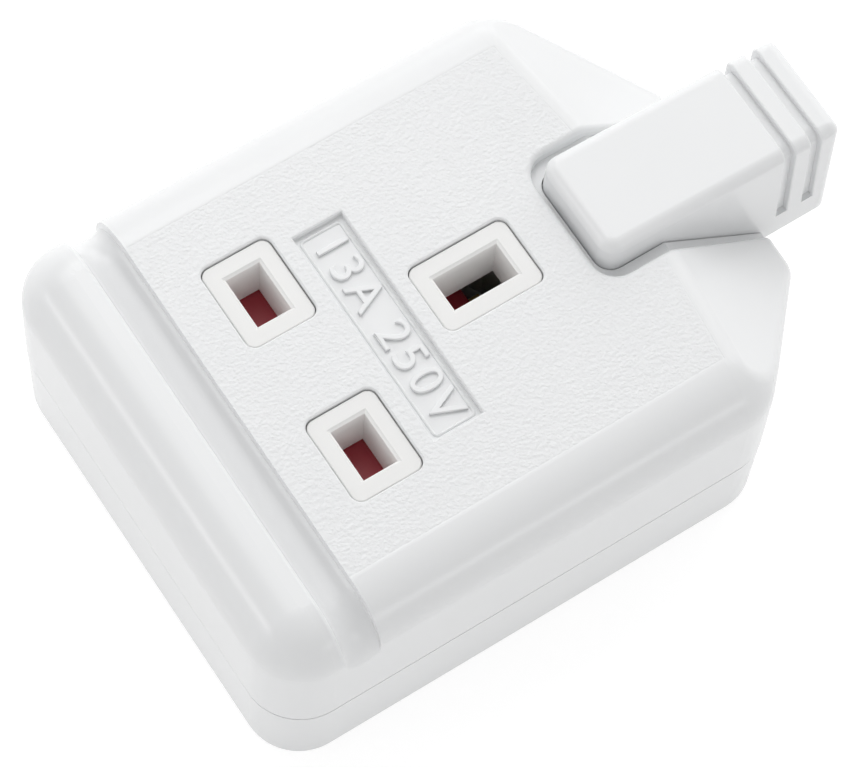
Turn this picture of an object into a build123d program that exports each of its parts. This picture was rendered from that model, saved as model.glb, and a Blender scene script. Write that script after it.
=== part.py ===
"""Single 13 A trailing socket: a rubber case with a ribbed cord hood, a shuttered insert and brass contacts.

Millimetres, +Z up. The origin lies on the rest face, straight below the middle of the line and neutral slots.
+X is the line side and +Y points at the earth slot and the cord end.
"""

import os
from math import atan2, cos, degrees, radians, sin, tan

from build123d import *

os.makedirs("parts", exist_ok=True)

# Pin pattern and slots
pin_spacing = 22.23
earth_offset = 22.23
blade_slot = (6.9, 4.5)
earth_slot = (4.6, 8.7)
slot_lead_in = 0.35
blade_pin_thickness = 4.0
earth_pin_thickness = 4.0

# Case outline and heights
body_width = 61.0
front_reach = 23.0
shoulder_reach = 42.9
tail_reach = 58.8
tail_width = 28.0
face_height = 30.0
base_height = 11.9
corner_radius = 7.0
tail_radius = 3.0
edge_radius = 6.4
case_wall = 2.5
face_thickness = 3.0

# Sloping cord end of the cover
slope_reach = 44.2
tail_drop = 12.25
slope_splay = 6.3
slope_edge_radius = 2.5

# Finger groove across the front of the face
groove_reach = 10.0
ridge_reach = 14.7
groove_depth = 2.5
groove_wall_depth = 1.7
ridge_radius = 0.6
ridge_clearance = 0.03
groove_runout_angle = 80.0

# Recess in the face
recess_size = (29.7, 6.6)
recess_offset = 10.2
recess_depth = 1.0
face_rim_radius = 0.25

# Base shell
base_inset = 0.05
base_draft = 1.0
base_foot_radius = 0.6
floor_thickness = 2.5
parting_gap = 0.35
parting_depth = 0.8

# Cord hood and the well round it
hood_width = 15.3
hood_start = 34.9
hood_end = 68.9
hood_bottom = 13.0
hood_front_rise = 3.1
hood_rear_rise = 1.6
hood_draft = 1.7
hood_corner_radius = 2.6
hood_tail_radius = 1.6
hood_edge_radius = 1.5
hood_groove_width = 1.4
hood_groove_depth = 0.75
hood_groove_rim_radius = 0.25
hood_groove_pitch = 3.7
hood_groove_margin = 3.6
hood_groove_floor = 4.1
hood_flange = (22.0, 3.0, 2.8)
hood_flange_start = 46.0
cord_bore = 8.6
cord_height = 20.5
well_gap = 1.35
well_front_gap = 0.55
well_depth = 2.0
well_wall = 2.0
well_lip_radius = 0.7
fit_clearance = 0.15
cut_margin = 1.0

# Socket insert
blade_collar = (11.45, 9.05)
earth_collar = (9.25, 13.25)
collar_radius = 1.2
collar_gap = 0.12
collar_drop = 0.4
collar_edge_radius = 0.2
insert_width = 34.8
insert_plate_thickness = 2.5
apron_front = -15.4
apron_margin = 0.4
collar_depth = 7.4
post_points = (14.0, 14.0)
post_diameter = 7.0
leg_points = (13.2, -12.8)
leg_diameter = 4.0
insert_screw_diameter = 2.9
insert_screw_head = (5.4, 1.9)

# Shutter and its spring
shutter_width = 31.2
shutter_length = 6.7
shutter_front = -3.4
shutter_thickness = 2.0
shutter_clearance = 0.2
shutter_travel = 5.5
shutter_bar_width = 6.0
ramp_width = 8.4
ramp_height = 4.6
ramp_toe = 0.6
rail_thickness = 1.6
rail_length = 12.5
rail_lip = (1.0, 0.9)
spring_peg = (1.8, 2.0)
spring_wire = 0.5
spring_diameter = 2.7
spring_turns = 6
spring_length = 9.6
spring_wall_thickness = 1.6
spring_wall_width = 8.0

# Contacts, terminals and their carrier
carrier_seat = 1.0
carrier_thickness = 2.5
carrier_margin = 4.5
carrier_front = -9.0
carrier_back = 28.0
carrier_nose = 6.6
barrier_thickness = 1.4
barrier_height = 9.0
barrier_offset = 6.2
barrier_length = 20.0
contact_thickness = 0.8
contact_width = 6.0
contact_gap = 0.7
contact_flare = 0.35
terminal_size = (7.0, 7.0, 8.5)
terminal_margin = 1.0
terminal_wire_hole = 3.4
terminal_screw_diameter = 3.0
terminal_screw_head = (4.8, 2.0)
screw_slot = (0.8, 1.0)

# Cord clamp
clamp_offset = 31.4
clamp_length = 5.0
clamp_width = 25.0
clamp_thickness = 2.4
clamp_screw_spacing = 18.0
clamp_post_diameter = 6.6
clamp_headroom = 3.2
clamp_rise = 2.2
clamp_gap = 0.3
clamp_arch_radius = 3.8
clamp_screw_diameter = 2.9
clamp_screw_head = (5.4, 2.0)
clamp_screw_length = 8.0

# Case screws, driven from underneath
boss_margin = 7.1
boss_rows = (-13.8, 33.4)
boss_diameter = 9.0
case_screw_diameter = 3.2
case_screw_head = (6.2, 2.4)
case_screw_length = 16.0
case_screw_recess = (7.2, 3.2)
pilot_clearance = 0.1

# Values worked out from the sizes above
half_width = body_width / 2
slope_angle = degrees(atan2(tail_drop, tail_reach - slope_reach))
hood_front_height = face_height + hood_front_rise
hood_rear_height = face_height + hood_rear_rise
blade_places = [(-pin_spacing / 2, 0), (pin_spacing / 2, 0)]
earth_place = (0, earth_offset)
collar_top = face_height - collar_drop
insert_top = face_height - face_thickness
insert_bottom = insert_top - insert_plate_thickness
collar_bottom = collar_top - collar_depth
shutter_top = collar_bottom - shutter_clearance
shutter_bottom = shutter_top - shutter_thickness
carrier_bottom = floor_thickness + carrier_seat
carrier_top = carrier_bottom + carrier_thickness
carrier_width = body_width - 2 * carrier_margin
terminal_centre = carrier_width / 2 - terminal_margin - terminal_size[0] / 2
low_ceiling = face_height - groove_depth - case_wall
room_front = case_wall - groove_reach
insert_front = room_front + fit_clearance
insert_back = clamp_offset - clamp_length / 2 - clamp_gap
insert_middle = (insert_front + insert_back) / 2
clamp_cord_height = insert_top - clamp_headroom - clamp_thickness - clamp_arch_radius
clamp_seat = clamp_cord_height - clamp_rise
clamp_post_height = clamp_seat - carrier_top
clamp_places = [(-clamp_screw_spacing / 2, clamp_offset), (clamp_screw_spacing / 2, clamp_offset)]
insert_screw_places = [(-post_points[0], post_points[1]), (post_points[0], post_points[1])]
leg_places = [(-leg_points[0], leg_points[1]), (leg_points[0], leg_points[1])]
boss_points = [(side * (half_width - boss_margin), row) for row in boss_rows for side in (-1, 1)]
apron_width = 2 * leg_points[0] + leg_diameter + 2 * apron_margin
blade_contact_height = shutter_bottom - contact_gap - carrier_top
earth_contact_height = shutter_top - ramp_height - contact_gap - carrier_top
terminal_seat = carrier_top + contact_thickness
terminal_top = terminal_seat + terminal_size[2]
spring_seat = shutter_front - spring_length
spring_height = (shutter_top + shutter_bottom) / 2
on_base = (Align.CENTER, Align.CENTER, Align.MIN)
from_top = (Align.CENTER, Align.CENTER, Align.MAX)


def body_outline(inset, tail_rounding):
    """Plan of the case: straight sides, drawn in towards the cord end by two slanting walls."""
    with BuildSketch() as plan:
        with BuildLine():
            Polyline(
                (-half_width, -front_reach),
                (half_width, -front_reach),
                (half_width, shoulder_reach),
                (tail_width / 2, tail_reach),
                (-tail_width / 2, tail_reach),
                (-half_width, shoulder_reach),
                close=True,
            )
        make_face()
        fillet(plan.vertices().sort_by(Axis.Y)[:4], corner_radius)
        if tail_rounding:
            fillet(plan.vertices().sort_by(Axis.Y)[-2:], tail_rounding)
        if inset:
            offset(amount=-inset)
    return plan.sketch


def slope_plane(side, depth):
    """One half of the sloping cord end, a set depth under its skin, facing out of the case."""
    splay = side * radians(slope_splay)
    fall = radians(slope_angle)
    outward = Vector(sin(splay) * sin(fall), cos(splay) * sin(fall), cos(fall))
    return Plane(Vector(0, slope_reach, face_height) - outward * depth, z_dir=outward)


def hood_space(side_gap, front_gap, sink, draft=0):
    """The hollow that the hood stands in: open upwards and to the cord end, its floor following the cover."""
    width = hood_width + 2 * side_gap
    front = hood_start - front_gap
    end = tail_reach + cut_margin
    knee = slope_reach - sink * tan(radians(slope_angle / 2))
    end_floor = face_height - sink - tan(radians(slope_angle)) * (end - knee)
    with BuildPart() as hollow:
        with BuildSketch(Plane.XY.offset(base_height)) as plan:
            with Locations((0, front)):
                Rectangle(width, end - front, align=(Align.CENTER, Align.MIN))
            fillet(plan.vertices().group_by(Axis.Y)[0], hood_corner_radius + front_gap)
        extrude(amount=2 * face_height, taper=draft)
        with BuildSketch(Plane.YZ):
            with BuildLine():
                Polyline(
                    (front - cut_margin, face_height - sink),
                    (knee, face_height - sink),
                    (end, end_floor),
                    (end, 2 * face_height),
                    (front - cut_margin, 2 * face_height),
                    close=True,
                )
            make_face()
        extrude(amount=width, both=True, mode=Mode.INTERSECT)
    return hollow.part


def slotted_screw(diameter, head, length):
    """A cheese-head screw, its head seated on the XY plane and its shank pointing down."""
    with BuildPart() as screw:
        Cylinder(head[0] / 2, head[1], align=on_base)
        chamfer(screw.edges().sort_by(Axis.Z)[-1], head[1] / 5)
        Cylinder(diameter / 2, length, align=from_top)
        with Locations((0, 0, head[1])):
            Box(head[0] * 2, screw_slot[0], screw_slot[1], align=from_top, mode=Mode.SUBTRACT)
    return screw.part


def tunnel_terminal():
    """A brass block with a wire tunnel along Y and a screw hole from above, standing on the XY plane."""
    with BuildPart() as block:
        Box(*terminal_size, align=on_base)
        chamfer(block.edges().filter_by(Axis.Z), contact_thickness / 2)
        with Locations((0, 0, terminal_size[2] / 2)):
            Cylinder(
                terminal_wire_hole / 2, terminal_size[1] * 2, rotation=(90, 0, 0), mode=Mode.SUBTRACT
            )
        with Locations((0, 0, terminal_size[2])):
            Cylinder(
                (terminal_screw_diameter + pilot_clearance) / 2,
                terminal_size[2] / 2,
                align=from_top,
                mode=Mode.SUBTRACT,
            )
    return block.part


def pin_clip(pin_thickness, height, strip_reach):
    """A pin clip on the XY plane: two leaves that grip the pin along Y and a strip that runs out along X."""
    leaf_offset = (pin_thickness + contact_thickness) / 2
    with BuildPart() as clip:
        with BuildSketch():
            with Locations((-contact_width / 2, 0)):
                Rectangle(
                    contact_width / 2 + strip_reach,
                    pin_thickness + 2 * contact_thickness,
                    align=(Align.MIN, Align.CENTER),
                )
        extrude(amount=contact_thickness)
        with Locations((0, -leaf_offset, 0), (0, leaf_offset, 0)):
            Box(contact_width, contact_thickness, height, align=on_base)
        tops = clip.faces().sort_by(Axis.Z)[-2:]
        mouth = tops.edges().filter_by(Axis.X).sort_by(lambda edge: abs(edge.center().Y))[:2]
        chamfer(mouth, contact_flare)
    return clip.part


# Finger groove: its section moves over the face and down both long edges without turning, and so runs out
groove_middle = groove_reach + (ridge_reach - groove_reach) / 3
edge_centre = (half_width - edge_radius, face_height - edge_radius)
with BuildPart() as finger_groove:
    with BuildLine(Plane.XZ):
        Line((0, face_height), (edge_centre[0], face_height))
        edge_arc = CenterArc(edge_centre, edge_radius, 90, -groove_runout_angle)
        Line(edge_arc @ 1, edge_arc @ 1 + edge_arc % 1 * edge_radius)
    with BuildSketch(Plane.YZ) as groove_section:
        with BuildLine():
            Polyline(
                (-ridge_reach, face_height),
                (-ridge_reach - 2 * ridge_radius, face_height + ridge_clearance),
                (-ridge_reach - 2 * ridge_radius, 2 * face_height),
                (-groove_reach, 2 * face_height),
                (-groove_reach, face_height - groove_wall_depth),
            )
            ThreePointArc(
                (-groove_reach, face_height - groove_wall_depth),
                (-groove_middle, face_height - groove_depth),
                (-ridge_reach, face_height),
            )
        make_face()
        ridge = groove_section.vertices().sort_by_distance((-ridge_reach, face_height))[0]
        fillet(ridge, ridge_radius)
    sweep(normal=(1, 0, 0))
    mirror(about=Plane.YZ)

# Hollow of the cover: low in front under the groove, higher over the insert, kept off the well
with BuildPart() as cover_hollow:
    with BuildSketch(Plane.XY.offset(base_height)):
        add(body_outline(case_wall, 0))
    extrude(amount=low_ceiling - base_height)
    with BuildSketch(Plane.XY.offset(base_height)):
        add(body_outline(case_wall, 0))
        with Locations((0, room_front)):
            Rectangle(
                body_width - 2 * edge_radius, tail_reach, align=(Align.CENTER, Align.MIN), mode=Mode.INTERSECT
            )
    extrude(amount=insert_top - base_height)
    for side in (-1, 1):
        split(bisect_by=slope_plane(side, face_thickness), keep=Keep.BOTTOM)
    well_shell = hood_space(well_gap + well_wall, well_front_gap + well_wall, well_depth + well_wall)
    add(well_shell, mode=Mode.SUBTRACT)

# Top cover
with BuildPart() as top_cover:
    with BuildSketch(Plane.XY.offset(base_height)):
        add(body_outline(0, 0))
    extrude(amount=face_height - base_height)
    fillet(top_cover.faces().sort_by(Axis.Z)[-1].edges().sort_by(Axis.Y)[:-1], edge_radius)
    for side in (-1, 1):
        split(bisect_by=slope_plane(side, 0), keep=Keep.BOTTOM)
    fillet(top_cover.edges().filter_by(Axis.Z).sort_by(Axis.Y)[-2:], tail_radius)
    add(hood_space(well_gap, well_front_gap, well_depth), mode=Mode.SUBTRACT)
    flats = top_cover.faces().filter_by(GeomType.PLANE)
    slope_rise = cos(radians(slope_angle))
    slopes = flats.filter_by(lambda face: abs(face.normal_at().Z - slope_rise) < fit_clearance)
    well_side = hood_width / 2 + well_gap
    soft_edges = slopes.edges().filter_by(lambda edge: abs(edge.center().X) > well_side + well_lip_radius)
    fillet(soft_edges, slope_edge_radius)
    rim_front = (0, hood_start - well_front_gap, face_height)
    fillet(top_cover.edges().sort_by_distance(rim_front)[0], well_lip_radius)
    add(finger_groove.part, mode=Mode.SUBTRACT)
    add(cover_hollow.part, mode=Mode.SUBTRACT)
    with Locations(*[(x, y, base_height) for x, y in boss_points]):
        Cylinder(boss_diameter / 2, low_ceiling - base_height, align=on_base)
        Cylinder(
            (case_screw_diameter + pilot_clearance) / 2,
            case_screw_length + case_screw_recess[1] - base_height + cut_margin,
            align=on_base,
            mode=Mode.SUBTRACT,
        )
    add(hood_space(fit_clearance, fit_clearance, face_height, hood_draft), mode=Mode.SUBTRACT)
    with BuildSketch(Plane.XY.offset(face_height)):
        with Locations(*blade_places):
            RectangleRounded(
                blade_collar[0] + 2 * collar_gap, blade_collar[1] + 2 * collar_gap, collar_radius + collar_gap
            )
        with Locations(earth_place):
            RectangleRounded(
                earth_collar[0] + 2 * collar_gap, earth_collar[1] + 2 * collar_gap, collar_radius + collar_gap
            )
    extrude(amount=-2 * face_thickness, mode=Mode.SUBTRACT)
    with BuildSketch(Plane.XY.offset(face_height)):
        with Locations((0, recess_offset)):
            Rectangle(*recess_size)
    extrude(amount=-recess_depth, mode=Mode.SUBTRACT)
    face = top_cover.faces().filter_by(Axis.Z).group_by(Axis.Z)[-1].sort_by(SortBy.AREA)[-1]
    fillet([edge for wire in face.inner_wires() for edge in wire.edges()], face_rim_radius)
top_cover.part.label = "top_cover"
export_step(top_cover.part, "parts/top_cover.step")

# Base shell
base_lean = base_height * tan(radians(base_draft))
tail_face = tail_reach - base_inset
with BuildPart() as base_shell:
    with BuildSketch(Plane.XY.offset(base_height)):
        add(body_outline(base_inset, tail_radius))
    extrude(amount=-base_height, taper=base_draft)
    fillet(base_shell.faces().sort_by(Axis.Z)[0].edges(), base_foot_radius)
    with BuildSketch(Plane.XY.offset(base_height)):
        add(body_outline(0, tail_radius))
        add(body_outline(base_inset + parting_depth, tail_radius), mode=Mode.SUBTRACT)
    extrude(amount=-parting_gap, mode=Mode.SUBTRACT)
    with BuildSketch(Plane.XY.offset(floor_thickness)):
        add(body_outline(base_inset + base_lean + case_wall, 0))
    extrude(amount=base_height, mode=Mode.SUBTRACT)
    with Locations(*[(x, y, floor_thickness) for x, y in boss_points]):
        Cylinder(boss_diameter / 2, base_height - floor_thickness, align=on_base)
    with Locations(*[(x, y, 0) for x, y in boss_points]):
        Cylinder(
            (case_screw_diameter + pilot_clearance) / 2, 2 * base_height, align=on_base, mode=Mode.SUBTRACT
        )
        Cylinder(case_screw_recess[0] / 2, case_screw_recess[1], align=on_base, mode=Mode.SUBTRACT)
    seat_pitch = (carrier_width * 2 / 3, (carrier_back - carrier_front) * 2 / 3)
    with Locations((0, (carrier_front + carrier_back) / 2, floor_thickness)):
        with GridLocations(*seat_pitch, 2, 2):
            Cylinder(boss_diameter / 2, carrier_seat, align=on_base)
    saddle_front = hood_start + hood_corner_radius
    saddle_back = tail_face - case_wall
    with BuildSketch(Plane.XY.offset(floor_thickness)):
        with Locations((-hood_width / 4, saddle_front), (hood_width / 4, saddle_front)):
            Rectangle(case_wall, saddle_back - saddle_front, align=(Align.CENTER, Align.MIN))
        with Locations((0, hood_flange_start + hood_flange[1] + fit_clearance)):
            Rectangle(hood_flange[0], case_wall, align=(Align.CENTER, Align.MIN))
    extrude(amount=hood_bottom - floor_thickness)
    with Locations((0, tail_face, base_height)):
        Box(hood_width, case_wall, hood_bottom - base_height, align=(Align.CENTER, Align.MAX, Align.MIN))
base_shell.part.label = "base_shell"
export_step(base_shell.part, "parts/base_shell.step")

# Cord hood: a drafted block with a falling top, two grooves round its cord end and a bore for the cord
hood_fall = hood_front_height - hood_rear_height
hood_lean = tan(radians(hood_draft))
hood_grip = radians(hood_draft)
groove_floor_half = hood_width / 2 - hood_groove_floor * hood_lean - hood_groove_depth
groove_rise = hood_rear_height - hood_bottom - hood_groove_floor - hood_groove_depth
groove_top_half = groove_floor_half - groove_rise * hood_lean
with BuildPart() as cord_hood:
    with BuildSketch(Plane.XY.offset(hood_bottom)) as hood_plan:
        with Locations((0, hood_start)):
            Rectangle(hood_width, hood_end - hood_start, align=(Align.CENTER, Align.MIN))
        fillet(hood_plan.vertices().group_by(Axis.Y)[0], hood_corner_radius)
        fillet(hood_plan.vertices().group_by(Axis.Y)[-1], hood_tail_radius)
    extrude(amount=face_height, taper=hood_draft)
    hood_top = Plane((0, hood_start, hood_front_height), z_dir=(0, hood_fall, hood_end - hood_start))
    split(bisect_by=hood_top, keep=Keep.BOTTOM)
    fillet(cord_hood.faces().sort_by(Axis.Z)[-1].edges(), hood_edge_radius)
    hood_skin = cord_hood.part.shells()[0]
    for turn in range(2):
        groove_centre = hood_end - hood_groove_margin - turn * hood_groove_pitch
        groove_origin = (0, groove_centre, hood_bottom + hood_groove_floor)
        with BuildSketch(Plane(groove_origin, x_dir=(1, 0, 0), z_dir=(0, -cos(hood_grip), -sin(hood_grip)))):
            Rectangle(hood_width * 2, face_height, align=(Align.CENTER, Align.MIN))
            with BuildSketch(mode=Mode.SUBTRACT) as groove_core:
                with BuildLine():
                    Polyline(
                        (-groove_floor_half, 0),
                        (groove_floor_half, 0),
                        (groove_top_half, groove_rise),
                        (-groove_top_half, groove_rise),
                        close=True,
                    )
                make_face()
                fillet(groove_core.vertices().group_by(Axis.Y)[-1], hood_edge_radius)
        extrude(amount=hood_groove_width / 2, both=True, mode=Mode.SUBTRACT)
    groove_axis = Axis((0, 0, 0), (0, cos(hood_grip), sin(hood_grip)))
    groove_walls = cord_hood.faces().filter_by(groove_axis).sort_by(Axis.Y)[:-1]
    rims = groove_walls.edges().filter_by(lambda edge: hood_skin.distance_to(edge @ 0.5) < fit_clearance)
    fillet(rims, hood_groove_rim_radius)
    with Locations((0, hood_flange_start, hood_bottom)):
        Box(*hood_flange, align=(Align.CENTER, Align.MIN, Align.MIN))
    with Locations((0, hood_start, cord_height)):
        Cylinder(
            cord_bore / 2,
            hood_end - hood_start,
            rotation=(-90, 0, 0),
            align=on_base,
            mode=Mode.SUBTRACT,
        )
    mouth = cord_hood.faces().sort_by(Axis.Y)[-1].inner_wires()[0].edges()
    chamfer(mouth, slot_lead_in * 2)
cord_hood.part.label = "cord_hood"
export_step(cord_hood.part, "parts/cord_hood.step")

# Socket insert
with BuildPart() as socket_insert:
    with BuildSketch(Plane.XY.offset(insert_bottom)):
        with Locations((0, insert_middle)):
            RectangleRounded(insert_width, insert_back - insert_front, collar_radius)
    extrude(amount=insert_plate_thickness)
    apron_top = low_ceiling - fit_clearance
    with BuildSketch(Plane.XY.offset(collar_bottom)):
        with Locations((0, apron_front)):
            apron_length = -(blade_collar[1] + blade_slot[1]) / 4 - apron_front
            Rectangle(apron_width, apron_length, align=(Align.CENTER, Align.MIN))
    extrude(amount=apron_top - collar_bottom)
    with BuildSketch(Plane.XY.offset(collar_bottom)):
        with Locations(*blade_places):
            RectangleRounded(*blade_collar, collar_radius)
        with Locations(earth_place):
            RectangleRounded(*earth_collar, collar_radius)
    extrude(amount=collar_depth)
    with BuildSketch(Plane.XY.offset(collar_bottom)):
        with Locations(*blade_places):
            Rectangle(*blade_slot)
        with Locations(earth_place):
            Rectangle(*earth_slot)
    extrude(amount=collar_depth, mode=Mode.SUBTRACT)
    collar_faces = socket_insert.faces().group_by(Axis.Z)[-1]
    chamfer([edge for face in collar_faces for edge in face.inner_wires()[0].edges()], slot_lead_in)
    collar_faces = socket_insert.faces().filter_by(Plane.XY).group_by(Axis.Z)[-1]
    fillet([edge for face in collar_faces for edge in face.outer_wire().edges()], collar_edge_radius)
    rail_inside = shutter_width / 2 + shutter_clearance
    rail_front = insert_front
    lip_top = shutter_bottom - shutter_clearance
    for side in (-1, 1):
        with BuildSketch(Plane((0, rail_front, 0), x_dir=(1, 0, 0), z_dir=(0, -1, 0))):
            with BuildLine():
                Polyline(
                    (side * rail_inside, insert_bottom),
                    (side * rail_inside, lip_top),
                    (side * (rail_inside - rail_lip[0]), lip_top),
                    (side * (rail_inside - rail_lip[0]), lip_top - rail_lip[1]),
                    (side * (rail_inside + rail_thickness), lip_top - rail_lip[1]),
                    (side * (rail_inside + rail_thickness), insert_bottom),
                    close=True,
                )
            make_face()
        extrude(amount=-rail_length)
    with Locations((0, spring_seat, apron_top)):
        Box(
            spring_wall_width,
            spring_wall_thickness,
            apron_top - lip_top + rail_lip[1],
            align=(Align.CENTER, Align.MAX, Align.MAX),
        )
    with Locations((0, spring_seat, spring_height)):
        Cylinder(
            spring_diameter / 2 + spring_wire,
            spring_length,
            rotation=(-90, 0, 0),
            align=on_base,
            mode=Mode.SUBTRACT,
        )
    with BuildSketch(Plane.XY.offset(carrier_top)):
        with Locations(*insert_screw_places):
            Circle(post_diameter / 2)
        with Locations(*leg_places):
            Circle(leg_diameter / 2)
    extrude(amount=collar_bottom - carrier_top)
    with BuildSketch(Plane.XY.offset(collar_bottom)):
        with Locations(*insert_screw_places):
            Circle(post_diameter / 2)
    extrude(amount=insert_bottom - collar_bottom)
    with Locations(*[(x, y, insert_top) for x, y in insert_screw_places]):
        Cylinder(
            (insert_screw_diameter + pilot_clearance) / 2, insert_top, align=from_top, mode=Mode.SUBTRACT
        )
        Cylinder(
            insert_screw_head[0] / 2 + shutter_clearance,
            insert_screw_head[1] + pilot_clearance,
            align=from_top,
            mode=Mode.SUBTRACT,
        )
socket_insert.part.label = "socket_insert"
export_step(socket_insert.part, "parts/socket_insert.step")

# Shutter: a plate under the two blade slots and a ramp under the earth slot
ramp_top = earth_offset - earth_slot[1] / 2
ramp_end = ramp_top + shutter_travel
with BuildPart() as shutter:
    with BuildSketch(Plane.XY.offset(shutter_bottom)):
        with Locations((0, shutter_front)):
            Rectangle(shutter_width, shutter_length, align=(Align.CENTER, Align.MIN))
            Rectangle(shutter_bar_width, ramp_top - shutter_front, align=(Align.CENTER, Align.MIN))
    extrude(amount=shutter_thickness)
    with BuildSketch(Plane.YZ):
        with BuildLine():
            Polyline(
                (ramp_top - shutter_thickness, shutter_top),
                (ramp_top, shutter_top),
                (ramp_end, shutter_top - ramp_height + ramp_toe),
                (ramp_end, shutter_top - ramp_height),
                (ramp_top - shutter_thickness, shutter_top - ramp_height),
                close=True,
            )
        make_face()
    extrude(amount=ramp_width / 2, both=True)
    with Locations((0, shutter_front, spring_height)):
        Cylinder(spring_peg[0] / 2, spring_peg[1], rotation=(90, 0, 0), align=on_base)
shutter.part.label = "shutter"
export_step(shutter.part, "parts/shutter.step")

# Shutter spring, closely wound between the shutter and the insert's wall
coil_length = spring_length - spring_wire
with BuildPart() as shutter_spring:
    with BuildLine() as coil:
        Helix(
            coil_length / spring_turns,
            coil_length,
            spring_diameter / 2,
            center=(0, spring_seat + spring_wire / 2, spring_height),
            direction=(0, 1, 0),
        )
    with BuildSketch(Plane(origin=coil.edge() @ 0, z_dir=coil.edge() % 0)):
        RegularPolygon(spring_wire / 2, 8)
    sweep(path=coil.edge())
shutter_spring.part.label = "shutter_spring"
export_step(shutter_spring.part, "parts/shutter_spring.step")

# Contact carrier
with BuildPart() as contact_carrier:
    with BuildSketch(Plane.XY.offset(carrier_bottom)):
        with Locations((0, carrier_front)):
            Rectangle(carrier_width, carrier_back - carrier_front, align=(Align.CENTER, Align.MIN))
            Rectangle(apron_width, carrier_nose, align=(Align.CENTER, Align.MAX))
        with Locations((0, carrier_back)):
            tongue_length = clamp_offset + clamp_post_diameter / 2 + fit_clearance - carrier_back
            Rectangle(clamp_width, tongue_length, align=(Align.CENTER, Align.MIN))
    extrude(amount=carrier_thickness)
    with BuildSketch(Plane.XY.offset(carrier_top)):
        with Locations((-barrier_offset, carrier_front), (barrier_offset, carrier_front)):
            Rectangle(barrier_thickness, barrier_length, align=(Align.CENTER, Align.MIN))
    extrude(amount=barrier_height)
    with Locations(*[(x, y, carrier_top) for x, y in clamp_places]):
        Cylinder(clamp_post_diameter / 2, clamp_post_height, align=on_base)
    saddle_width = clamp_screw_spacing - clamp_post_diameter * 2 / 3
    with Locations((0, clamp_offset, carrier_top)):
        Box(saddle_width, clamp_length, clamp_post_height - fit_clearance, align=on_base)
    with Locations((0, clamp_offset, clamp_cord_height)):
        Cylinder(clamp_arch_radius, 2 * clamp_length, rotation=(90, 0, 0), mode=Mode.SUBTRACT)
    with Locations(*[(x, y, clamp_seat) for x, y in clamp_places]):
        Cylinder(
            (clamp_screw_diameter + pilot_clearance) / 2,
            clamp_post_height,
            align=from_top,
            mode=Mode.SUBTRACT,
        )
    with Locations(*[(x, y, carrier_top) for x, y in insert_screw_places]):
        Cylinder(
            (insert_screw_diameter + pilot_clearance) / 2,
            carrier_thickness,
            align=from_top,
            mode=Mode.SUBTRACT,
        )
contact_carrier.part.label = "contact_carrier"
export_step(contact_carrier.part, "parts/contact_carrier.step")

# Contacts and terminals
strip_end = terminal_centre + terminal_size[0] / 2
blade_strip = strip_end - pin_spacing / 2
with BuildPart() as line_contact:
    with Locations((pin_spacing / 2, 0, carrier_top)):
        add(pin_clip(blade_pin_thickness, blade_contact_height, blade_strip))
line_contact.part.label = "line_contact"
export_step(line_contact.part, "parts/line_contact.step")

with BuildPart() as neutral_contact:
    with Locations(Location((-pin_spacing / 2, 0, carrier_top), (0, 0, 180))):
        add(pin_clip(blade_pin_thickness, blade_contact_height, blade_strip))
neutral_contact.part.label = "neutral_contact"
export_step(neutral_contact.part, "parts/neutral_contact.step")

earth_strip_width = blade_pin_thickness + 2 * contact_thickness
with BuildPart() as earth_contact:
    with Locations(Location((0, earth_offset, carrier_top), (0, 0, 90))):
        add(pin_clip(earth_pin_thickness, earth_contact_height, contact_width / 2))
    with Locations((0, earth_offset, carrier_top)):
        Box(strip_end, earth_strip_width, contact_thickness, align=(Align.MAX, Align.CENTER, Align.MIN))
earth_contact.part.label = "earth_contact"
export_step(earth_contact.part, "parts/earth_contact.step")

terminal_places = {
    "line_terminal": (terminal_centre, 0),
    "neutral_terminal": (-terminal_centre, 0),
    "earth_terminal": (-terminal_centre, earth_offset),
}
for name, place in terminal_places.items():
    with BuildPart() as terminal:
        with Locations((*place, terminal_seat)):
            add(tunnel_terminal())
    terminal.part.label = name
    export_step(terminal.part, f"parts/{name}.step")

with BuildPart() as terminal_screws:
    with Locations(*[(*place, terminal_top) for place in terminal_places.values()]):
        add(slotted_screw(terminal_screw_diameter, terminal_screw_head, terminal_size[2] / 2))
terminal_screws.part.label = "terminal_screws"
export_step(terminal_screws.part, "parts/terminal_screws.step")

# Insert screws
with BuildPart() as insert_screws:
    head_seat = insert_top - insert_screw_head[1] - pilot_clearance
    with Locations(*[(x, y, head_seat) for x, y in insert_screw_places]):
        shank = head_seat - carrier_bottom - pilot_clearance
        add(slotted_screw(insert_screw_diameter, insert_screw_head, shank))
insert_screws.part.label = "insert_screws"
export_step(insert_screws.part, "parts/insert_screws.step")

# Cord clamp
with BuildPart() as cord_clamp:
    with BuildSketch(Plane((0, clamp_offset, 0), x_dir=(1, 0, 0), z_dir=(0, -1, 0))):
        with Locations((0, clamp_cord_height)):
            Circle(clamp_arch_radius + clamp_thickness)
        with Locations((0, clamp_seat)):
            Rectangle(clamp_width, clamp_thickness, align=(Align.CENTER, Align.MIN))
            Rectangle(clamp_width, clamp_seat, align=(Align.CENTER, Align.MAX), mode=Mode.SUBTRACT)
        with Locations((0, clamp_cord_height)):
            Circle(clamp_arch_radius, mode=Mode.SUBTRACT)
            Rectangle(
                2 * clamp_arch_radius, clamp_cord_height, align=(Align.CENTER, Align.MAX), mode=Mode.SUBTRACT
            )
    extrude(amount=clamp_length / 2, both=True)
    with Locations(*[(x, y, clamp_seat) for x, y in clamp_places]):
        Cylinder((clamp_screw_diameter + pilot_clearance) / 2, face_height, mode=Mode.SUBTRACT)
cord_clamp.part.label = "cord_clamp"
export_step(cord_clamp.part, "parts/cord_clamp.step")

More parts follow.
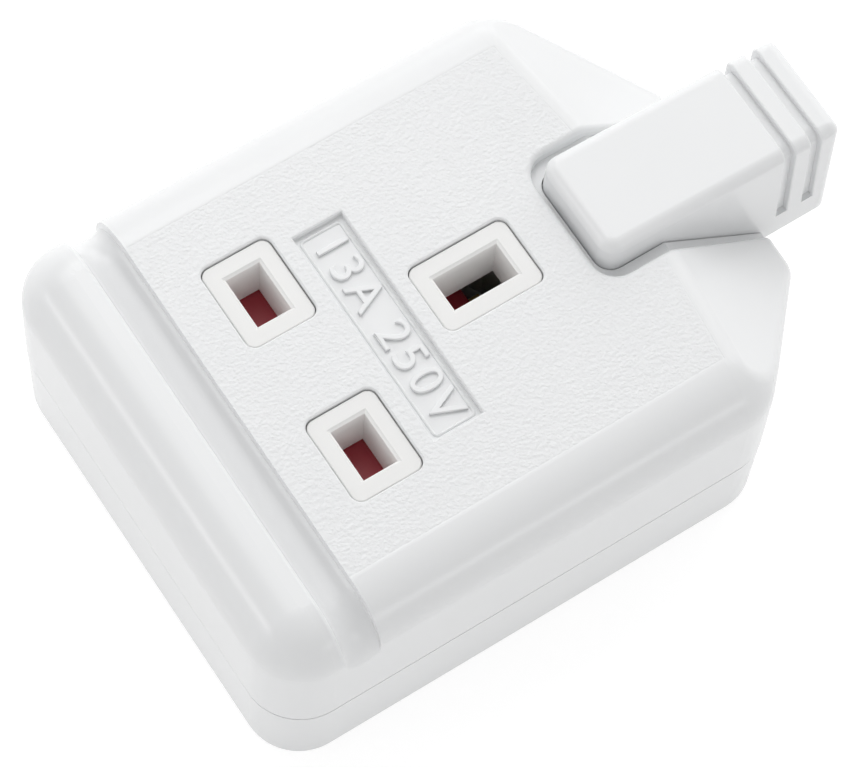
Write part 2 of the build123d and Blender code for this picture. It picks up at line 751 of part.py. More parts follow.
with BuildPart() as clamp_screws:
    with Locations(*[(x, y, clamp_seat + clamp_thickness) for x, y in clamp_places]):
        add(slotted_screw(clamp_screw_diameter, clamp_screw_head, clamp_screw_length))
clamp_screws.part.label = "clamp_screws"
export_step(clamp_screws.part, "parts/clamp_screws.step")

# Case screws
with BuildPart() as case_screws:
    with Locations(*[Location((x, y, case_screw_recess[1]), (180, 0, 0)) for x, y in boss_points]):
        add(slotted_screw(case_screw_diameter, case_screw_head, case_screw_length))
case_screws.part.label = "case_screws"
export_step(case_screws.part, "parts/case_screws.step")
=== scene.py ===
"""Looks of the trailing socket: white moulded rubber, grained face, shuttered insert, brass contacts.

Metres, in the frame of the solids: +Z up out of the socket face, +Y towards the cord end and
+X towards the line slot.
"""

import math

import bpy
from mathutils import Matrix, Vector


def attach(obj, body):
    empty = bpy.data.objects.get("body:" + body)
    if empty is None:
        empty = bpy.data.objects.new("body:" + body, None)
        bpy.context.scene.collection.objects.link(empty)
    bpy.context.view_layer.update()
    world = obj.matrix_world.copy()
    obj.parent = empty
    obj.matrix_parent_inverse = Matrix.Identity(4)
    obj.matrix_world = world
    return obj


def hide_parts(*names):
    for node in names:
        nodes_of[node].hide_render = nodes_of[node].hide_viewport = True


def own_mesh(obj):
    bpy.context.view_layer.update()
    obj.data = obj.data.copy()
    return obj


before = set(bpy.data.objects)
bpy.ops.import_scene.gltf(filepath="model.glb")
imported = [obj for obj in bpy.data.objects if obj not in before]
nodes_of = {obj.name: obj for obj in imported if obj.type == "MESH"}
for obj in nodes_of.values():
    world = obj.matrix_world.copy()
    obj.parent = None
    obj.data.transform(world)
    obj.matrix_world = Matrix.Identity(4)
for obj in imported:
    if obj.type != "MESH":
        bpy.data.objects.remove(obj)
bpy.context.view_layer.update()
scene = bpy.context.scene
scene.view_settings.view_transform = "Standard"
MM = 0.001

# White rubber and the insert's plastic, each with the shade that it drifts to; finish scale per metre,
# depth in metres
WHITE = (0.849, 0.856, 0.861)
WHITE_SHADE = (0.819, 0.826, 0.835)
WHITE_SHADE_SHARE = 0.5
RUBBER_ROUGHNESS = 0.235
HOOD_ROUGHNESS = 0.23
RUBBER_SPREAD = 0.05
RUBBER_FINISH_SCALE = 1400.0
RUBBER_FINISH_DEPTH = 0.0000015
INSERT_WHITE = (0.868, 0.866, 0.857)
INSERT_SHADE = (0.84, 0.838, 0.828)
# Painted light: the insert's slot walls get a paler white, as if more light reached into the slots
SLOT_WALL_PAINTED_LIGHT = (0.97, 0.967, 0.955)

# Drift of tone and gloss, in clouds per metre
COVER_CLOUDS = 70.0
MOULDED_CLOUDS = 90.0
METAL_CLOUDS = 240.0

# Field of the leather grain, in millimetres: it fades out where the surface drops away from the face, and
# its back edge comes forward by GRAIN_SPLAY of the distance from the middle
FACE_HEIGHT = 30.0
FACE_DROP_START = 0.03
FACE_DROP_END = 0.08
GRAIN_HALF_WIDTH = 23.7
GRAIN_FRONT = -10.0
GRAIN_BACK = 42.9
GRAIN_SPLAY = 0.1104
GRAIN_EDGE_SOFTNESS = 0.12
GRAIN_LINE_WIDTH = 0.16

# Leather grain: scales per metre, depth and reach in metres, angle in degrees, heights as shares of the depth
GRAIN_DEPTH = 0.000058
GRAIN_ANGLE = 57.0
GRAIN_STRETCH = (0.98, 0.78, 1.0)
PEBBLE_SCALE = 1950.0
PEBBLE_SMOOTHNESS = 0.6
WANDER_SCALE = 1100.0
WANDER_REACH = 0.0005
WRINKLE_SCALE = 2650.0
WRINKLE_DISTORTION = 0.8
WRINKLE_HEIGHT = 0.8
SMOOTH_HEIGHT = 0.026
LINE_HEIGHT = 0.27
# Painted shade in the grain's valleys: where the grain lies below VALLEY_START, the face's colour is darkened
# towards the grey below, by at most the share below
VALLEY_START = 0.62
VALLEY_PAINTED_SHADE_SHARE = 0.06
VALLEY_PAINTED_SHADE = (0.72, 0.73, 0.75)

# Recess in the face, and the lettering and bead that stand in it, in millimetres
RECESS_CENTRE = (0.0, 10.2)
RECESS_SIZE = (29.7, 6.6)
RECESS_FLOOR = 29.0
LETTER_HEIGHT = 4.2
LETTER_SIZE_PER_HEIGHT = 1.38
LETTER_SPACING = 1.16
LETTER_RISE = 0.5
LETTER_SINK = 0.02
LETTER_EDGE = 0.1
LETTER_EDGE_STEPS = 2
LETTER_THINNING = 0.06
FRAME_INSET = 0.62
FRAME_RADIUS = 0.2
FRAME_CORNER = 0.5
FRAME_STEPS = 4
FRAME_SIDES = 12

# Heights between which the insert's collars give way to the slot walls and their painted light, in
# millimetres
COLLAR_TOP = 29.6
SLOT_WALL_TOP = 29.2

# Shutter spring, in millimetres; steps are those of one turn
SPRING_SEAT = -13.0
SPRING_LENGTH = 9.6
SPRING_AXIS_HEIGHT = 21.0
SPRING_RADIUS = 1.35
SPRING_WIRE = 0.5
SPRING_TURNS = 6
SPRING_DEAD_TURNS = 1.0
SPRING_STEPS = 28
SPRING_SIDES = 10

# Floor, in metres, and the share of it that glows white where it is seen
FLOOR_HALF = 3.0
FLOOR_LEVEL = -0.00003
FLOOR_COLOR = (0.9, 0.9, 0.9, 1.0)
FLOOR_GLOW = 1.3
FLOOR_GLOW_SHARE = 0.6

# Backdrop: white up to BACKDROP_TOP, from where it dims to OVERHEAD_LIGHT at OVERHEAD_START. Both heights are
# sines of the angle above the floor. It gives less light from SHADED_SIDE, the main lamps' side, in degrees.
PURE_WHITE = (1.0, 1.0, 1.0, 1.0)
BACKDROP_TOP = 0.2
OVERHEAD_START = 0.5
OVERHEAD_LIGHT = 0.5
SHADED_SIDE = 155.0
SHADED_SIDE_LOSS = 0.31

# Lamps: name, azimuth and elevation in degrees, size in metres and power in watts
LAMP_AIM = (0.0, 0.015, 0.015)
LAMP_DISTANCE = 1.0
LAMPS = (
    ("back_left_lamp", 135.0, 37.0, (1.1, 1.1), 5.3),
    ("top_left_lamp", 180.0, 60.0, (0.6, 0.6), 1.95),
    ("front_lamp", 247.0, 25.0, (0.42, 0.13), 0.72),
    ("right_lamp", 16.0, 15.0, (0.3, 0.16), 0.36),
)

# Camera, solved from the slots in the photograph; roll in degrees, lens and sensor in millimetres
CAMERA_PLACE = (0.15728, -0.107223, 0.439758)
CAMERA_FORWARD = (-0.328925, 0.260278, -0.907779)
CAMERA_ROLL = 5.855
CAMERA_LENS = 168.075
CAMERA_SENSOR = 36.0
CAMERA_NEAR = 0.01
CAMERA_FAR = 20.0


def feed(tree, value, slot):
    """Links a socket into a slot, or sets the slot to a plain value."""
    if isinstance(value, bpy.types.NodeSocket):
        tree.links.new(value, slot)
    else:
        slot.default_value = value


def math_node(tree, operation, *values, clamp=False):
    """A Math node whose inputs are sockets or plain numbers; returns its output."""
    node = tree.nodes.new("ShaderNodeMath")
    node.operation = operation
    node.use_clamp = clamp
    for slot, value in zip(node.inputs, values):
        feed(tree, value, slot)
    return node.outputs[0]


def vector_node(tree, operation, first, second):
    """A Vector Math node on two sockets or plain vectors; returns its outputs."""
    node = tree.nodes.new("ShaderNodeVectorMath")
    node.operation = operation
    feed(tree, first, node.inputs[0])
    feed(tree, second, node.inputs[1])
    return node.outputs


def mix_node(tree, kind, factor, first, second, blend="MIX"):
    """A Mix node for colours (RGBA) or numbers (FLOAT); returns its result."""
    node = tree.nodes.new("ShaderNodeMix")
    node.data_type = kind
    node.blend_type = blend
    feed(tree, factor, node.inputs["Factor"])
    feed(tree, first, node.inputs["A"])
    feed(tree, second, node.inputs["B"])
    return node.outputs["Result"]


def ramp(tree, value, start, end, below=1.0, above=0.0):
    """A smooth step from one value, below start, to another, above end."""
    node = tree.nodes.new("ShaderNodeMapRange")
    node.interpolation_type = "SMOOTHSTEP"
    tree.links.new(value, node.inputs["Value"])
    node.inputs["From Min"].default_value = start
    node.inputs["From Max"].default_value = end
    node.inputs["To Min"].default_value = below
    node.inputs["To Max"].default_value = above
    return node.outputs["Result"]


def axes_of(tree, vector):
    """The X, Y and Z of a vector socket."""
    node = tree.nodes.new("ShaderNodeSeparateXYZ")
    tree.links.new(vector, node.inputs["Vector"])
    return node.outputs


def place_of(tree):
    """The surface's place in the part's frame, in metres."""
    return tree.nodes.new("ShaderNodeTexCoord").outputs["Object"]


def noise(tree, place, scale, detail, roughness=0.5, distortion=0.0):
    """A noise texture; scale may be a socket or a number."""
    node = tree.nodes.new("ShaderNodeTexNoise")
    tree.links.new(place, node.inputs["Vector"])
    feed(tree, scale, node.inputs["Scale"])
    node.inputs["Detail"].default_value = detail
    node.inputs["Roughness"].default_value = roughness
    node.inputs["Distortion"].default_value = distortion
    return node.outputs["Fac"]


def new_group(name, inputs, outputs):
    """A shader node group with named sockets; returns the group with its input and output nodes."""
    group = bpy.data.node_groups.new(name, "ShaderNodeTree")
    for label, kind, value in inputs:
        socket = group.interface.new_socket(label, in_out="INPUT", socket_type=kind)
        socket.default_value = value
    for label, kind in outputs:
        group.interface.new_socket(label, in_out="OUTPUT", socket_type=kind)
    return group, group.nodes.new("NodeGroupInput"), group.nodes.new("NodeGroupOutput")


def make_clouding():
    """Slow drift of tone and gloss over a moulded or plated surface."""
    group, start, end = new_group(
        "surface_clouding",
        [
            ("Color", "NodeSocketColor", (0.8, 0.8, 0.8, 1.0)),
            ("Second Color", "NodeSocketColor", (0.7, 0.7, 0.7, 1.0)),
            ("Cloud Scale", "NodeSocketFloat", 120.0),
            ("Second Share", "NodeSocketFloat", 0.2),
            ("Roughness", "NodeSocketFloat", 0.5),
            ("Roughness Spread", "NodeSocketFloat", 0.1),
        ],
        [("Color", "NodeSocketColor"), ("Roughness", "NodeSocketFloat")],
    )
    given = start.outputs
    cloud = noise(group, place_of(group), given["Cloud Scale"], detail=4.0, roughness=0.55)
    share = math_node(group, "MULTIPLY", cloud, given["Second Share"], clamp=True)
    tone = mix_node(group, "RGBA", share, given["Color"], given["Second Color"])
    group.links.new(tone, end.inputs["Color"])
    swing = math_node(group, "SUBTRACT", cloud, 0.5)
    gloss = math_node(group, "MULTIPLY_ADD", swing, given["Roughness Spread"], given["Roughness"])
    group.links.new(gloss, end.inputs["Roughness"])
    return group


def make_mould_finish():
    """The fine even texture that a mould's spark-finished wall leaves."""
    group, start, end = new_group(
        "mould_finish",
        [("Grain Scale", "NodeSocketFloat", 3000.0)],
        [("Height", "NodeSocketFloat")],
    )
    height = noise(group, place_of(group), start.outputs["Grain Scale"], detail=2.0, roughness=0.6)
    group.links.new(height, end.inputs["Height"])
    return group


def make_drawn_lines():
    """Fine parallel marks of rolling or drawing, stretched along one axis."""
    group, start, end = new_group(
        "drawn_lines",
        [("Line Scale", "NodeSocketFloat", 2500.0), ("Stretch", "NodeSocketVector", (0.05, 1.0, 1.0))],
        [("Height", "NodeSocketFloat")],
    )
    stretched = vector_node(group, "MULTIPLY", place_of(group), start.outputs["Stretch"])["Vector"]
    height = noise(group, stretched, start.outputs["Line Scale"], detail=3.0, roughness=0.6)
    group.links.new(height, end.inputs["Height"])
    return group


CLOUDING = make_clouding()
MOULD_FINISH = make_mould_finish()
DRAWN_LINES = make_drawn_lines()


def use_group(tree, group, **values):
    """Places a node group in a material; underscores in the value names stand for spaces."""
    node = tree.nodes.new("ShaderNodeGroup")
    node.node_tree = group
    for label, value in values.items():
        node.inputs[label.replace("_", " ")].default_value = value
    return node


def new_material(name, metallic=0.0):
    """A material with its Principled shader."""
    material = bpy.data.materials.new(name)
    material.use_nodes = True
    shader = material.node_tree.nodes["Principled BSDF"]
    shader.inputs["Metallic"].default_value = metallic
    shader.inputs["IOR"].default_value = 1.5
    return material, material.node_tree, shader


def bump(tree, shader, height, distance):
    """Feeds a height to the shader's normal; distance is the height's depth in metres."""
    node = tree.nodes.new("ShaderNodeBump")
    node.inputs["Distance"].default_value = distance
    node.inputs["Strength"].default_value = 1.0
    tree.links.new(height, node.inputs["Height"])
    tree.links.new(node.outputs["Normal"], shader.inputs["Normal"])


def clouded(tree, shader, color, second, clouds, share, roughness, spread):
    """Lets a shader's gloss drift, and returns the drifting colour."""
    cloud = use_group(
        tree,
        CLOUDING,
        Color=(*color, 1.0),
        Second_Color=(*second, 1.0),
        Cloud_Scale=clouds,
        Second_Share=share,
        Roughness=roughness,
        Roughness_Spread=spread,
    )
    tree.links.new(cloud.outputs["Roughness"], shader.inputs["Roughness"])
    return cloud.outputs["Color"]


def moulded(name, color, second, share, roughness, spread, grain_scale, grain_depth, slot_wall_painted_light=None):
    """A moulded rubber or plastic with drifting tone and a fine mould finish.

    The slot-wall colour, if given, is painted light: a paler white below the collars' tops, as if more light
    reached into the slots.
    """
    material, tree, shader = new_material(name)
    tone = clouded(tree, shader, color, second, MOULDED_CLOUDS, share, roughness, spread)
    if slot_wall_painted_light:
        # Painted light: below the collars' tops the colour turns to the paler slot-wall white, as if lit
        height = axes_of(tree, place_of(tree))["Z"]
        painted_light_share = ramp(tree, height, SLOT_WALL_TOP * MM, COLLAR_TOP * MM)
        tone = mix_node(tree, "RGBA", painted_light_share, tone, (*slot_wall_painted_light, 1.0))
    tree.links.new(tone, shader.inputs["Base Color"])
    finish = use_group(tree, MOULD_FINISH, Grain_Scale=grain_scale)
    bump(tree, shader, finish.outputs["Height"], grain_depth)
    return material


def white_rubber(name, roughness):
    """The plain white rubber of the base and the hood."""
    return moulded(
        name,
        WHITE,
        WHITE_SHADE,
        WHITE_SHADE_SHARE,
        roughness,
        RUBBER_SPREAD,
        RUBBER_FINISH_SCALE,
        RUBBER_FINISH_DEPTH,
    )


def metal(name, color, second, share, roughness, spread, line_scale, stretch, line_depth):
    """A drawn, rolled or plated metal."""
    material, tree, shader = new_material(name, metallic=1.0)
    tone = clouded(tree, shader, color, second, METAL_CLOUDS, share, roughness, spread)
    tree.links.new(tone, shader.inputs["Base Color"])
    lines = use_group(tree, DRAWN_LINES, Line_Scale=line_scale, Stretch=stretch)
    bump(tree, shader, lines.outputs["Height"], line_depth)
    return material


def leather_grain(tree, place):
    """Height of small pebbles, drawn out a little across the face and broken by finer wrinkles."""
    stretch = tree.nodes.new("ShaderNodeMapping")
    stretch.vector_type = "TEXTURE"
    tree.links.new(place, stretch.inputs["Vector"])
    stretch.inputs["Rotation"].default_value = (0.0, 0.0, math.radians(GRAIN_ANGLE))
    stretch.inputs["Scale"].default_value = GRAIN_STRETCH
    stretched = stretch.outputs["Vector"]
    wander = math_node(tree, "MULTIPLY", noise(tree, stretched, WANDER_SCALE, detail=2.0), WANDER_REACH)
    pebbles = tree.nodes.new("ShaderNodeTexVoronoi")
    pebbles.feature = "SMOOTH_F1"
    pebbles.inputs["Scale"].default_value = PEBBLE_SCALE
    pebbles.inputs["Smoothness"].default_value = PEBBLE_SMOOTHNESS
    tree.links.new(vector_node(tree, "ADD", stretched, wander)["Vector"], pebbles.inputs["Vector"])
    wrinkles = noise(tree, stretched, WRINKLE_SCALE, detail=3.0, distortion=WRINKLE_DISTORTION)
    raised = math_node(tree, "MULTIPLY", wrinkles, WRINKLE_HEIGHT)
    return math_node(tree, "SUBTRACT", raised, pebbles.outputs["Distance"])


def grain_field(tree, place):
    """Where the face is grained, and where the scribed line round that field runs, both from 0 to 1."""
    soft = GRAIN_EDGE_SOFTNESS * MM
    half = GRAIN_HALF_WIDTH * MM
    far = GRAIN_BACK * MM
    near = GRAIN_FRONT * MM
    width = GRAIN_LINE_WIDTH * MM
    axes = axes_of(tree, place)
    out = math_node(tree, "ABSOLUTE", axes["X"])
    reach = math_node(tree, "MULTIPLY_ADD", out, GRAIN_SPLAY, axes["Y"])
    side = ramp(tree, out, half - soft, half + soft)
    back = ramp(tree, reach, far - soft, far + soft)
    front = ramp(tree, math_node(tree, "MULTIPLY", axes["Y"], -1.0), -near - soft, -near + soft)
    drop = math_node(tree, "SUBTRACT", FACE_HEIGHT * MM, axes["Z"])
    level = ramp(tree, drop, FACE_DROP_START * MM, FACE_DROP_END * MM)
    between = math_node(tree, "MULTIPLY", side, back)
    on_face = math_node(tree, "MULTIPLY", front, level)
    field = math_node(tree, "MULTIPLY", between, on_face)

    from_side = math_node(tree, "ABSOLUTE", math_node(tree, "SUBTRACT", out, half))
    from_back = math_node(tree, "ABSOLUTE", math_node(tree, "SUBTRACT", reach, far))
    before_back = math_node(tree, "MULTIPLY", front, ramp(tree, reach, far, far + soft))
    line_side = math_node(tree, "MULTIPLY", ramp(tree, from_side, 0.0, width), before_back)
    within_sides = ramp(tree, out, half, half + soft)
    line_back = math_node(tree, "MULTIPLY", ramp(tree, from_back, 0.0, width), within_sides)
    line = math_node(tree, "MULTIPLY", math_node(tree, "MAXIMUM", line_side, line_back), level)
    return field, line


def grained_cover():
    """White rubber whose flat face carries a fine leather grain, with painted shade in its valleys, up to a
    scribed line near its edge.
    """
    material, tree, shader = new_material("cover_rubber")
    place = place_of(tree)
    field, line = grain_field(tree, place)
    grain = leather_grain(tree, place)
    finish = use_group(tree, MOULD_FINISH, Grain_Scale=RUBBER_FINISH_SCALE)
    smooth = math_node(tree, "MULTIPLY", finish.outputs["Height"], SMOOTH_HEIGHT)
    height = mix_node(tree, "FLOAT", field, smooth, grain)
    scribed = math_node(tree, "MULTIPLY", line, LINE_HEIGHT)
    bump(tree, shader, math_node(tree, "SUBTRACT", height, scribed), GRAIN_DEPTH)

    tone = clouded(
        tree, shader, WHITE, WHITE_SHADE, COVER_CLOUDS, WHITE_SHADE_SHARE, RUBBER_ROUGHNESS, RUBBER_SPREAD
    )
    # Painted shade: the grain's valleys are darkened towards a grey, as if shaded
    painted_valley_shade = math_node(tree, "MULTIPLY", field, math_node(tree, "SUBTRACT", VALLEY_START, grain, clamp=True))
    share = math_node(tree, "MULTIPLY", painted_valley_shade, VALLEY_PAINTED_SHADE_SHARE)
    shaded = mix_node(tree, "RGBA", share, tone, (*VALLEY_PAINTED_SHADE, 1.0), blend="MULTIPLY")
    tree.links.new(shaded, shader.inputs["Base Color"])
    return material


cover_rubber = grained_cover()
base_rubber = white_rubber("base_rubber", RUBBER_ROUGHNESS)
hood_rubber = white_rubber("hood_rubber", HOOD_ROUGHNESS)
insert_plastic = moulded(
    "insert_plastic",
    color=INSERT_WHITE,
    second=INSERT_SHADE,
    share=0.4,
    roughness=0.36,
    spread=0.1,
    grain_scale=4200.0,
    grain_depth=0.000003,
    slot_wall_painted_light=SLOT_WALL_PAINTED_LIGHT,
)
shutter_plastic = moulded(
    "shutter_plastic",
    color=(0.36, 0.028, 0.042),
    second=(0.28, 0.02, 0.03),
    share=0.5,
    roughness=0.38,
    spread=0.12,
    grain_scale=3800.0,
    grain_depth=0.000004,
)
carrier_plastic = moulded(
    "carrier_plastic",
    color=(0.8, 0.79, 0.75),
    second=(0.74, 0.73, 0.69),
    share=0.5,
    roughness=0.42,
    spread=0.12,
    grain_scale=3400.0,
    grain_depth=0.000005,
)
contact_brass = metal(
    "contact_brass",
    color=(0.75, 0.53, 0.21),
    second=(0.5, 0.3, 0.1),
    share=0.5,
    roughness=0.38,
    spread=0.16,
    line_scale=2600.0,
    stretch=(0.08, 1.0, 1.0),
    line_depth=0.000006,
)
screw_steel = metal(
    "screw_steel",
    color=(0.62, 0.61, 0.58),
    second=(0.42, 0.41, 0.39),
    share=0.5,
    roughness=0.37,
    spread=0.14,
    line_scale=3000.0,
    stretch=(1.0, 1.0, 0.1),
    line_depth=0.000005,
)
spring_steel = metal(
    "spring_steel",
    color=(0.6, 0.61, 0.63),
    second=(0.4, 0.4, 0.42),
    share=0.4,
    roughness=0.22,
    spread=0.08,
    line_scale=4000.0,
    stretch=(1.0, 0.2, 1.0),
    line_depth=0.000003,
)

FINISHES = {
    "top_cover": cover_rubber,
    "base_shell": base_rubber,
    "cord_hood": hood_rubber,
    "socket_insert": insert_plastic,
    "shutter": shutter_plastic,
    "shutter_spring": spring_steel,
    "contact_carrier": carrier_plastic,
    "cord_clamp": carrier_plastic,
    "line_contact": contact_brass,
    "neutral_contact": contact_brass,
    "earth_contact": contact_brass,
    "line_terminal": contact_brass,
    "neutral_terminal": contact_brass,
    "earth_terminal": contact_brass,
    "terminal_screws": screw_steel,
    "insert_screws": screw_steel,
    "clamp_screws": screw_steel,
    "case_screws": screw_steel,
}
for name, finish in FINISHES.items():
    mesh = nodes_of[name].data
    mesh.materials.clear()
    mesh.materials.append(finish)


def add_mesh(name, mesh, material, body):
    """Links a new piece, gives it its finish and lets it ride on a body."""
    piece = bpy.data.objects.new(name, mesh)
    scene.collection.objects.link(piece)
    mesh.materials.clear()
    mesh.materials.append(material)
    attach(piece, body)
    return piece


def tube_mesh(name, rings, closed):
    """A smooth tube through rings of points in millimetres; an open tube gets flat ends."""
    sides = len(rings[0])
    count = len(rings)
    faces = []
    for i in range(count if closed else count - 1):
        near = i * sides
        far = (i + 1) % count * sides
        for k in range(sides):
            after = (k + 1) % sides
            faces.append((near + k, near + after, far + after, far + k))
    if not closed:
        faces.append(tuple(reversed(range(sides))))
        faces.append(tuple(range((count - 1) * sides, count * sides)))
    mesh = bpy.data.meshes.new(name)
    mesh.from_pydata([point * MM for ring in rings for point in ring], [], faces)
    mesh.shade_smooth()
    mesh.update()
    return mesh


def rating_letters():
    """Raised rating in the recess: plain capitals that stand on its floor."""
    curve = bpy.data.curves.new("rating_letters", "FONT")
    curve.body = "13A 250V"
    curve.align_x = "CENTER"
    curve.align_y = "CENTER"
    curve.size = LETTER_HEIGHT * LETTER_SIZE_PER_HEIGHT * MM
    curve.extrude = (LETTER_RISE / 2 - LETTER_EDGE) * MM
    curve.bevel_depth = LETTER_EDGE * MM
    curve.bevel_resolution = LETTER_EDGE_STEPS
    curve.space_character = LETTER_SPACING
    curve.offset = -LETTER_THINNING * MM
    outline = bpy.data.objects.new("rating_outline", curve)
    scene.collection.objects.link(outline)
    bpy.context.view_layer.update()
    mesh = bpy.data.meshes.new_from_object(outline.evaluated_get(bpy.context.evaluated_depsgraph_get()))
    bpy.data.objects.remove(outline)
    mesh.name = "rating_letters"
    middle = RECESS_FLOOR + LETTER_RISE / 2 - LETTER_SINK
    mesh.transform(Matrix.Translation(Vector((*RECESS_CENTRE, middle)) * MM))
    add_mesh("rating_letters", mesh, base_rubber, "case")


def rating_frame():
    """A fine raised bead round the rating, half sunk in the floor of the recess."""
    half_x = RECESS_SIZE[0] / 2 - FRAME_INSET - FRAME_CORNER
    half_y = RECESS_SIZE[1] / 2 - FRAME_INSET - FRAME_CORNER
    path = []
    for quarter, (side_x, side_y) in enumerate(((1, 1), (-1, 1), (-1, -1), (1, -1))):
        for step in range(FRAME_STEPS + 1):
            angle = (quarter + step / FRAME_STEPS) * math.pi / 2
            x = RECESS_CENTRE[0] + side_x * half_x + FRAME_CORNER * math.cos(angle)
            y = RECESS_CENTRE[1] + side_y * half_y + FRAME_CORNER * math.sin(angle)
            path.append(Vector((x, y, RECESS_FLOOR)))
    rings = []
    for i, point in enumerate(path):
        ahead = (path[(i + 1) % len(path)] - path[i - 1]).normalized()
        ring = []
        for k in range(FRAME_SIDES):
            angle = -2 * math.pi * k / FRAME_SIDES
            across = FRAME_RADIUS * math.cos(angle)
            rise = FRAME_RADIUS * math.sin(angle)
            ring.append(point + Vector((ahead.y * across, -ahead.x * across, rise)))
        rings.append(ring)
    mesh = tube_mesh("rating_frame", rings, closed=True)
    add_mesh("rating_frame", mesh, base_rubber, "case")


def spring_points():
    """The middle of the spring's wire, step by step, with a closed turn at each end."""
    length = SPRING_LENGTH - SPRING_WIRE
    total = SPRING_TURNS + 2 * SPRING_DEAD_TURNS
    open_length = length - 2 * SPRING_WIRE * SPRING_DEAD_TURNS
    count = int(total * SPRING_STEPS)
    points = []
    for i in range(count + 1):
        turn = total * i / count
        if turn < SPRING_DEAD_TURNS:
            along = SPRING_WIRE * turn
        elif turn > total - SPRING_DEAD_TURNS:
            along = length - SPRING_WIRE * (total - turn)
        else:
            share = (turn - SPRING_DEAD_TURNS) / SPRING_TURNS
            along = SPRING_WIRE * SPRING_DEAD_TURNS + open_length * share
        angle = 2 * math.pi * turn
        x = SPRING_RADIUS * math.cos(angle)
        y = SPRING_SEAT + SPRING_WIRE / 2 + along
        z = SPRING_AXIS_HEIGHT + SPRING_RADIUS * math.sin(angle)
        points.append(Vector((x, y, z)))
    return points


def spring_coil():
    """The shutter's return spring: a coil of wire in place of the solid spring, fixed on the case."""
    points = spring_points()
    last = len(points) - 1
    rings = []
    for i, point in enumerate(points):
        ahead = (points[min(i + 1, last)] - points[max(i - 1, 0)]).normalized()
        outward = (point - Vector((0.0, point.y, SPRING_AXIS_HEIGHT))).normalized()
        other = ahead.cross(outward).normalized()
        ring = []
        for k in range(SPRING_SIDES):
            angle = 2 * math.pi * k / SPRING_SIDES
            way = outward * math.cos(angle) + other * math.sin(angle)
            ring.append(point + way * SPRING_WIRE / 2)
        rings.append(ring)
    mesh = tube_mesh("spring_coil", rings, closed=False)
    piece = add_mesh("spring_coil", mesh, spring_steel, "case")
    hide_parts("shutter_spring")
    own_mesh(piece)


rating_letters()
rating_frame()
spring_coil()


def seen_rays(tree):
    """1 for rays that show a surface, straight or by way of gloss or glass; 0 for those that light one."""
    rays = tree.nodes.new("ShaderNodeLightPath")
    seen = math_node(tree, "MAXIMUM", rays.outputs["Is Camera Ray"], rays.outputs["Is Glossy Ray"])
    return math_node(tree, "MAXIMUM", seen, rays.outputs["Is Transmission Ray"])


def pale_floor():
    """A wide floor that the camera sees as white, with the part's soft shadow kept on it."""
    mesh = bpy.data.meshes.new("pale_floor")
    corners = ((-1, -1), (1, -1), (1, 1), (-1, 1))
    verts = [(x * FLOOR_HALF, y * FLOOR_HALF, FLOOR_LEVEL) for x, y in corners]
    mesh.from_pydata(verts, [], [(0, 1, 2, 3)])
    floor = bpy.data.objects.new("pale_floor", mesh)
    scene.collection.objects.link(floor)
    material = bpy.data.materials.new("floor_white")
    material.use_nodes = True
    tree = material.node_tree
    tree.nodes.clear()
    output = tree.nodes.new("ShaderNodeOutputMaterial")
    diffuse = tree.nodes.new("ShaderNodeBsdfDiffuse")
    diffuse.inputs["Color"].default_value = FLOOR_COLOR
    glow = tree.nodes.new("ShaderNodeEmission")
    glow.inputs["Color"].default_value = PURE_WHITE
    glow.inputs["Strength"].default_value = FLOOR_GLOW
    share = math_node(tree, "MULTIPLY", seen_rays(tree), FLOOR_GLOW_SHARE)
    mix = tree.nodes.new("ShaderNodeMixShader")
    tree.links.new(share, mix.inputs["Fac"])
    tree.links.new(diffuse.outputs[0], mix.inputs[1])
    tree.links.new(glow.outputs[0], mix.inputs[2])
    tree.links.new(mix.outputs[0], output.inputs["Surface"])
    mesh.materials.append(material)


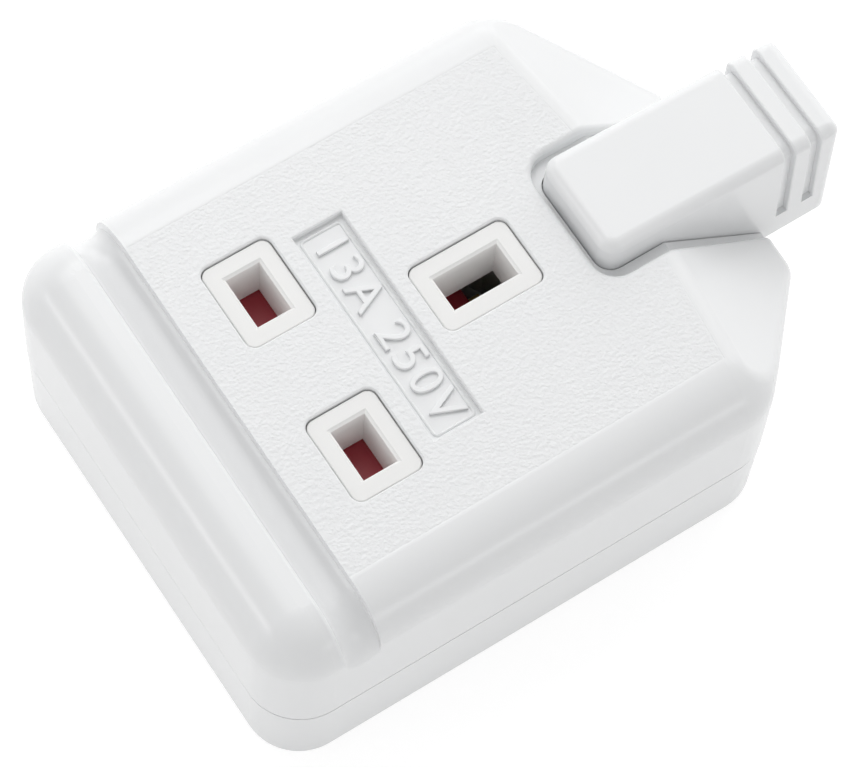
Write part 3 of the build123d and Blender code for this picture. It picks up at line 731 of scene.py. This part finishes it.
def white_backdrop():
    """A white backdrop all round, dimmer overhead, whose light is weaker on the lamps' side."""
    world = bpy.data.worlds.new("studio")
    scene.world = world
    world.use_nodes = True
    tree = world.node_tree
    backdrop = tree.nodes["Background"]
    backdrop.inputs["Color"].default_value = PURE_WHITE
    direction = tree.nodes.new("ShaderNodeTexCoord").outputs["Generated"]
    height = axes_of(tree, direction)["Z"]
    strength = ramp(tree, height, BACKDROP_TOP, OVERHEAD_START, below=1.0, above=OVERHEAD_LIGHT)
    shaded = math.radians(SHADED_SIDE)
    shaded_way = (math.cos(shaded), math.sin(shaded), 0.0)
    toward = vector_node(tree, "DOT_PRODUCT", direction, shaded_way)["Value"]
    open_share = ramp(tree, toward, 0.0, 1.0)
    light = math_node(tree, "MULTIPLY_ADD", open_share, SHADED_SIDE_LOSS, 1.0 - SHADED_SIDE_LOSS)
    seen_or_light = math_node(tree, "MAXIMUM", seen_rays(tree), light)
    level = math_node(tree, "MULTIPLY", strength, seen_or_light)
    tree.links.new(level, backdrop.inputs["Strength"])


def studio_lamps():
    """Area lamps outside the picture, all turned to the part."""
    for name, azimuth, elevation, size, power in LAMPS:
        data = bpy.data.lights.new(name, "AREA")
        data.shape = "RECTANGLE"
        data.size, data.size_y = size
        data.energy = power
        lamp = bpy.data.objects.new(name, data)
        scene.collection.objects.link(lamp)
        around = math.radians(azimuth)
        up = math.radians(elevation)
        way = Vector((math.cos(around) * math.cos(up), math.sin(around) * math.cos(up), math.sin(up)))
        lamp.location = Vector(LAMP_AIM) + way * LAMP_DISTANCE
        lamp.rotation_mode = "QUATERNION"
        lamp.rotation_quaternion = way.to_track_quat("Z", "Y")


def photo_camera():
    """The camera at the photograph's viewing angle."""
    data = bpy.data.cameras.new("photo_camera")
    data.lens = CAMERA_LENS
    data.sensor_width = CAMERA_SENSOR
    data.clip_start = CAMERA_NEAR
    data.clip_end = CAMERA_FAR
    camera = bpy.data.objects.new("photo_camera", data)
    scene.collection.objects.link(camera)
    look = Vector(CAMERA_FORWARD).normalized().to_track_quat("-Z", "Y").to_matrix()
    turn = look @ Matrix.Rotation(math.radians(CAMERA_ROLL), 3, "Z")
    camera.matrix_world = Matrix.Translation(Vector(CAMERA_PLACE)) @ turn.to_4x4()
    scene.camera = camera


pale_floor()
white_backdrop()
studio_lamps()
photo_camera()
